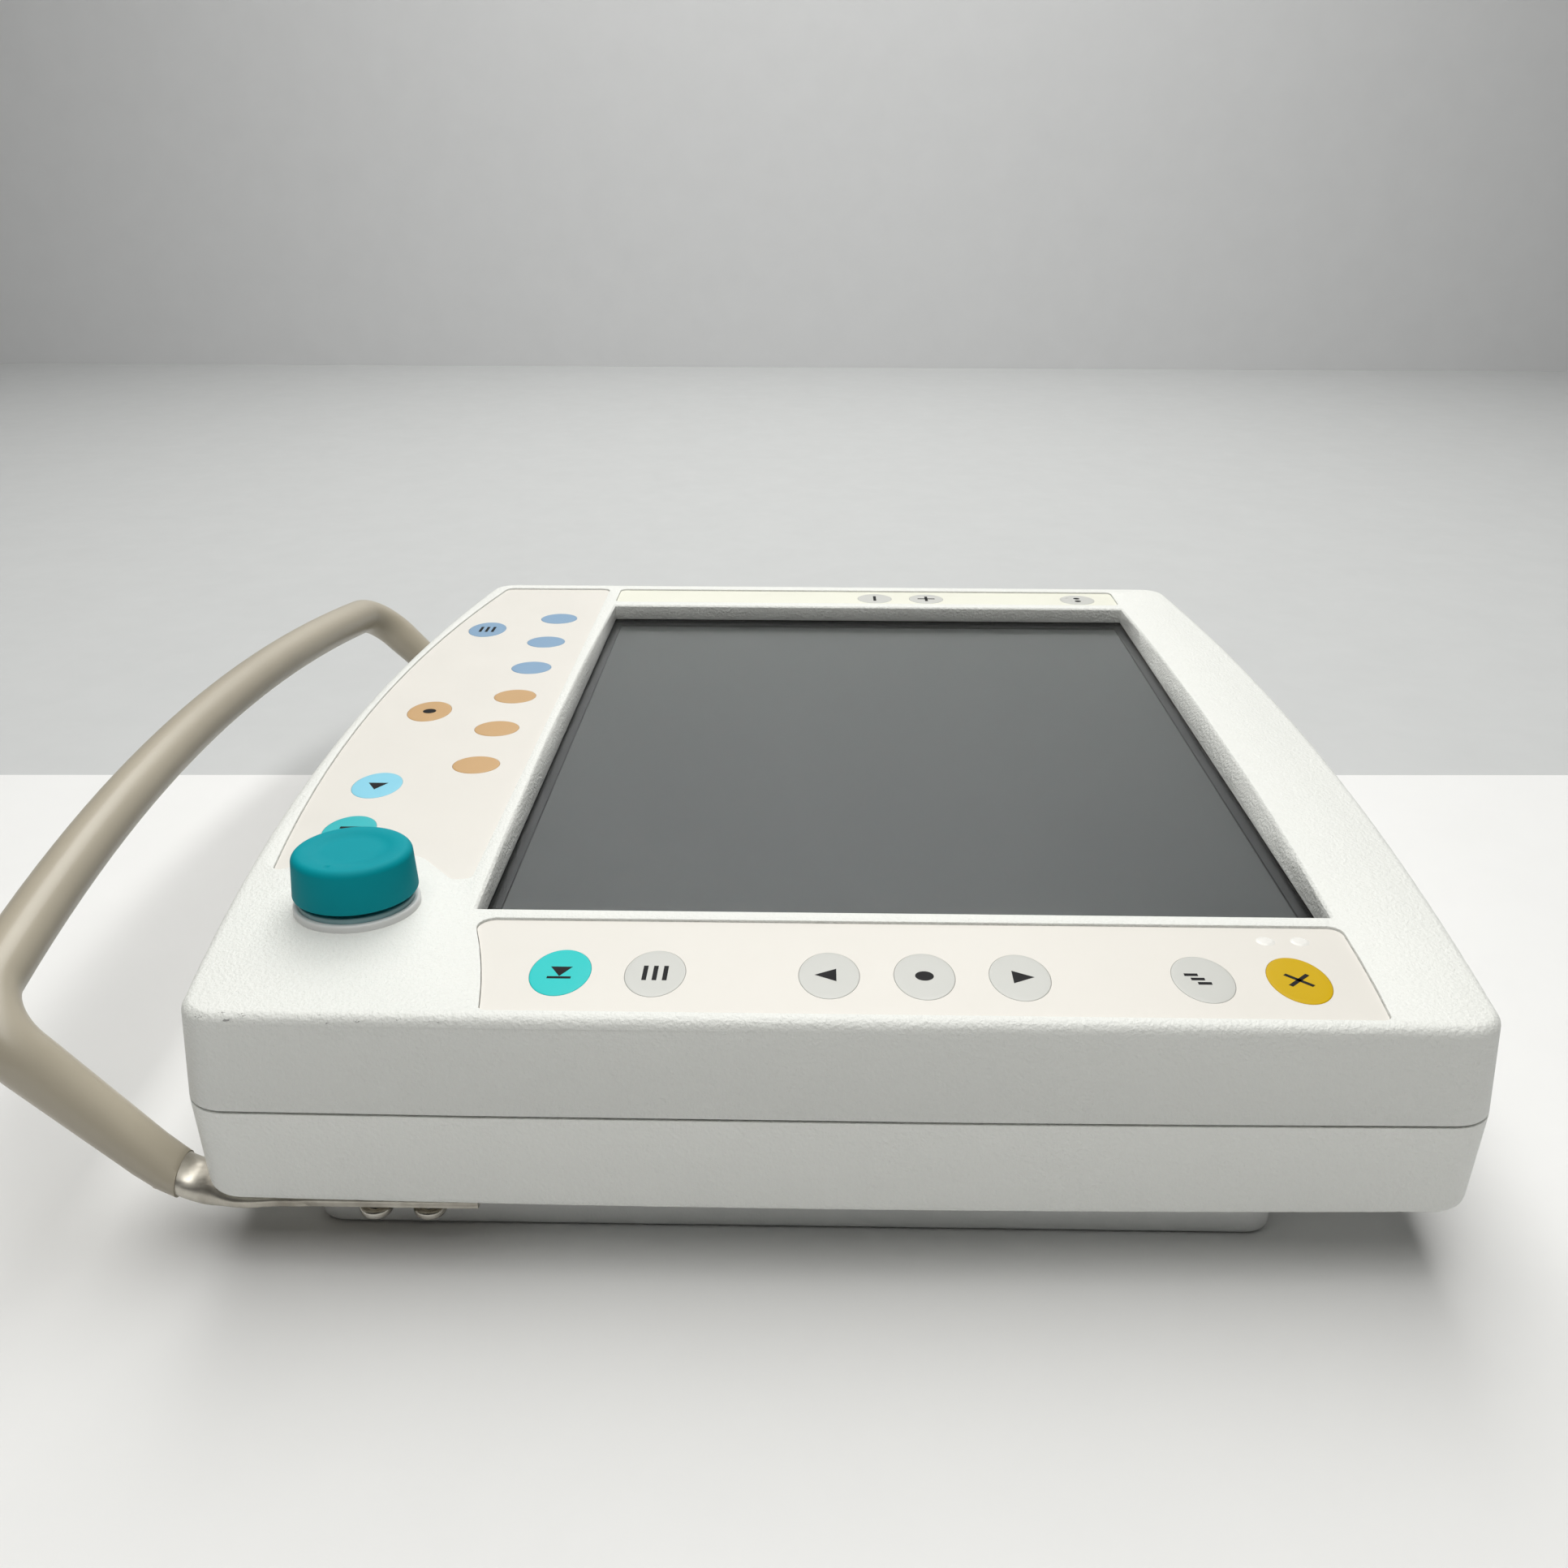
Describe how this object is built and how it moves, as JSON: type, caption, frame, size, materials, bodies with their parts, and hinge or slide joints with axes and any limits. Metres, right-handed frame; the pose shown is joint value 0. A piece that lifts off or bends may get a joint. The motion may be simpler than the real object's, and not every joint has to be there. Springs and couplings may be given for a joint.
{
  "type": "patient monitor",
  "caption": "Flat bedside patient monitor lying on its back, with a recessed screen, membrane keys beside it, a turn-and-push knob at one corner and a bent tube carrying handle.",
  "frame": {"origin": "centre of the rear bolt pattern, on the back face that the monitor rests on", "axes": "+Z the way the screen faces, +Y the top of the screen in use, +X the right-hand side of the screen"},
  "size_m": [0.4106, 0.4112, 0.0962],
  "materials": {
    "casing_paint": "fine orange-peel paint on moulded plastic, warm off-white",
    "block_plastic": "moulded plastic, plain",
    "seal_rubber": "moulded cord",
    "screen_glass": "clear filter glass with a faint satin face",
    "foam": "black foam strip",
    "black_steel": "thin pressed sheet, black",
    "lcd_glass": "dark, unlit, satin polariser",
    "light_guide": "milky light guide in a white tray",
    "zinc_steel": "zinc plated",
    "board_green": "solder-masked circuit board",
    "brass": "turned",
    "speaker_black": "black basket and cone",
    "lamp_lens": "clear milky lens",
    "encoder_black": "moulded, black",
    "nickel_steel": "nickel plated, lightly worn",
    "collar_plastic": "smooth off-white",
    "knob_rubber": "soft-touch teal",
    "handle_metal": "bare worn metal",
    "handle_grip": "semi-gloss taupe sleeve with light scratches",
    "overlay_film": "satin printed film, warm off-white",
    "switch_film": "clear polyester laminate",
    "key_cyan": "satin printed film",
    "key_grey": "satin printed film",
    "key_yellow": "satin printed film",
    "key_tan": "satin printed film",
    "key_blue": "satin printed film",
    "key_sky": "satin printed film",
    "key_teal": "satin printed film"
  },
  "bodies": {
    "housing": {"alarm_lights": "lamp_lens", "alarm_speaker": "speaker_black", "block_screws": "zinc_steel", "board_screws": "zinc_steel", "board_standoffs": "brass", "cable_socket": "nickel_steel", "casing_screws": "zinc_steel", "casing_seal": "seal_rubber", "chassis_plate": "zinc_steel", "chassis_screws": "zinc_steel", "display_board": "board_green", "earth_stud": "nickel_steel", "encoder_body": "encoder_black", "encoder_nut": "nickel_steel", "front_bezel": "casing_paint", "handle_screws": "nickel_steel", "handle_sleeve": "handle_grip", "handle_spacers": "nickel_steel", "handle_tube": "handle_metal", "inverter_board": "board_green", "knob_collar": "collar_plastic", "lcd_backlight": "light_guide", "lcd_frame": "black_steel", "lcd_panel": "lcd_glass", "module_pads": "foam", "mount_inserts": "brass", "overlay_bottom": "overlay_film", "overlay_left": "overlay_film", "overlay_right": "overlay_film", "rear_block": "block_plastic", "rear_cover": "casing_paint", "screen_gasket": "foam", "screen_window": "screen_glass", "socket_jackscrews": "nickel_steel", "switch_sheet_bottom": "switch_film", "switch_sheet_left": "switch_film", "switch_sheet_right": "switch_film"},
    "push_pin": {"encoder_plunger": "encoder_black"},
    "knob": {"knob": "knob_rubber", "encoder_shaft": "nickel_steel"},
    "key_bottom_1": {"key_bottom_1": "key_tan"},
    "key_bottom_10": {"key_bottom_10": "key_blue"},
    "key_bottom_2": {"key_bottom_2": "key_tan"},
    "key_bottom_3": {"key_bottom_3": "key_tan"},
    "key_bottom_4": {"key_bottom_4": "key_blue"},
    "key_bottom_5": {"key_bottom_5": "key_blue"},
    "key_bottom_6": {"key_bottom_6": "key_blue"},
    "key_bottom_7": {"key_bottom_7": "key_teal"},
    "key_bottom_8": {"key_bottom_8": "key_sky"},
    "key_bottom_9": {"key_bottom_9": "key_tan"},
    "key_left_1": {"key_left_1": "key_grey"},
    "key_left_2": {"key_left_2": "key_grey"},
    "key_left_3": {"key_left_3": "key_grey"},
    "key_right_1": {"key_right_1": "key_cyan"},
    "key_right_2": {"key_right_2": "key_grey"},
    "key_right_3": {"key_right_3": "key_grey"},
    "key_right_4": {"key_right_4": "key_grey"},
    "key_right_5": {"key_right_5": "key_grey"},
    "key_right_6": {"key_right_6": "key_grey"},
    "key_right_7": {"key_right_7": "key_yellow"}
  },
  "joints": [
    {"name": "knob_press", "type": "slide", "parent": "housing", "child": "push_pin", "axis": [0, 0, -1], "range_m": [0, 0.001], "stiffness_N_per_m": 5000},
    {"name": "knob_turn", "type": "hinge", "parent": "push_pin", "child": "knob", "pos_m": [0.14745, -0.1201, 0.09], "axis": [0, 0, 1], "continuous": true},
    {"name": "key_bottom_1_press", "type": "slide", "parent": "housing", "child": "key_bottom_1", "axis": [0, 0, -1], "range_m": [0, 0.0004], "stiffness_N_per_m": 6000},
    {"name": "key_bottom_10_press", "type": "slide", "parent": "housing", "child": "key_bottom_10", "axis": [0, 0, -1], "range_m": [0, 0.0004], "stiffness_N_per_m": 6000},
    {"name": "key_bottom_2_press", "type": "slide", "parent": "housing", "child": "key_bottom_2", "axis": [0, 0, -1], "range_m": [0, 0.0004], "stiffness_N_per_m": 6000},
    {"name": "key_bottom_3_press", "type": "slide", "parent": "housing", "child": "key_bottom_3", "axis": [0, 0, -1], "range_m": [0, 0.0004], "stiffness_N_per_m": 6000},
    {"name": "key_bottom_4_press", "type": "slide", "parent": "housing", "child": "key_bottom_4", "axis": [0, 0, -1], "range_m": [0, 0.0004], "stiffness_N_per_m": 6000},
    {"name": "key_bottom_5_press", "type": "slide", "parent": "housing", "child": "key_bottom_5", "axis": [0, 0, -1], "range_m": [0, 0.0004], "stiffness_N_per_m": 6000},
    {"name": "key_bottom_6_press", "type": "slide", "parent": "housing", "child": "key_bottom_6", "axis": [0, 0, -1], "range_m": [0, 0.0004], "stiffness_N_per_m": 6000},
    {"name": "key_bottom_7_press", "type": "slide", "parent": "housing", "child": "key_bottom_7", "axis": [0, 0, -1], "range_m": [0, 0.0004], "stiffness_N_per_m": 6000},
    {"name": "key_bottom_8_press", "type": "slide", "parent": "housing", "child": "key_bottom_8", "axis": [0, 0, -1], "range_m": [0, 0.0004], "stiffness_N_per_m": 6000},
    {"name": "key_bottom_9_press", "type": "slide", "parent": "housing", "child": "key_bottom_9", "axis": [0, 0, -1], "range_m": [0, 0.0004], "stiffness_N_per_m": 6000},
    {"name": "key_left_1_press", "type": "slide", "parent": "housing", "child": "key_left_1", "axis": [0, 0, -1], "range_m": [0, 0.0004], "stiffness_N_per_m": 6000},
    {"name": "key_left_2_press", "type": "slide", "parent": "housing", "child": "key_left_2", "axis": [0, 0, -1], "range_m": [0, 0.0004], "stiffness_N_per_m": 6000},
    {"name": "key_left_3_press", "type": "slide", "parent": "housing", "child": "key_left_3", "axis": [0, 0, -1], "range_m": [0, 0.0004], "stiffness_N_per_m": 6000},
    {"name": "key_right_1_press", "type": "slide", "parent": "housing", "child": "key_right_1", "axis": [0, 0, -1], "range_m": [0, 0.0004], "stiffness_N_per_m": 6000},
    {"name": "key_right_2_press", "type": "slide", "parent": "housing", "child": "key_right_2", "axis": [0, 0, -1], "range_m": [0, 0.0004], "stiffness_N_per_m": 6000},
    {"name": "key_right_3_press", "type": "slide", "parent": "housing", "child": "key_right_3", "axis": [0, 0, -1], "range_m": [0, 0.0004], "stiffness_N_per_m": 6000},
    {"name": "key_right_4_press", "type": "slide", "parent": "housing", "child": "key_right_4", "axis": [0, 0, -1], "range_m": [0, 0.0004], "stiffness_N_per_m": 6000},
    {"name": "key_right_5_press", "type": "slide", "parent": "housing", "child": "key_right_5", "axis": [0, 0, -1], "range_m": [0, 0.0004], "stiffness_N_per_m": 6000},
    {"name": "key_right_6_press", "type": "slide", "parent": "housing", "child": "key_right_6", "axis": [0, 0, -1], "range_m": [0, 0.0004], "stiffness_N_per_m": 6000},
    {"name": "key_right_7_press", "type": "slide", "parent": "housing", "child": "key_right_7", "axis": [0, 0, -1], "range_m": [0, 0.0004], "stiffness_N_per_m": 6000}
  ]
}
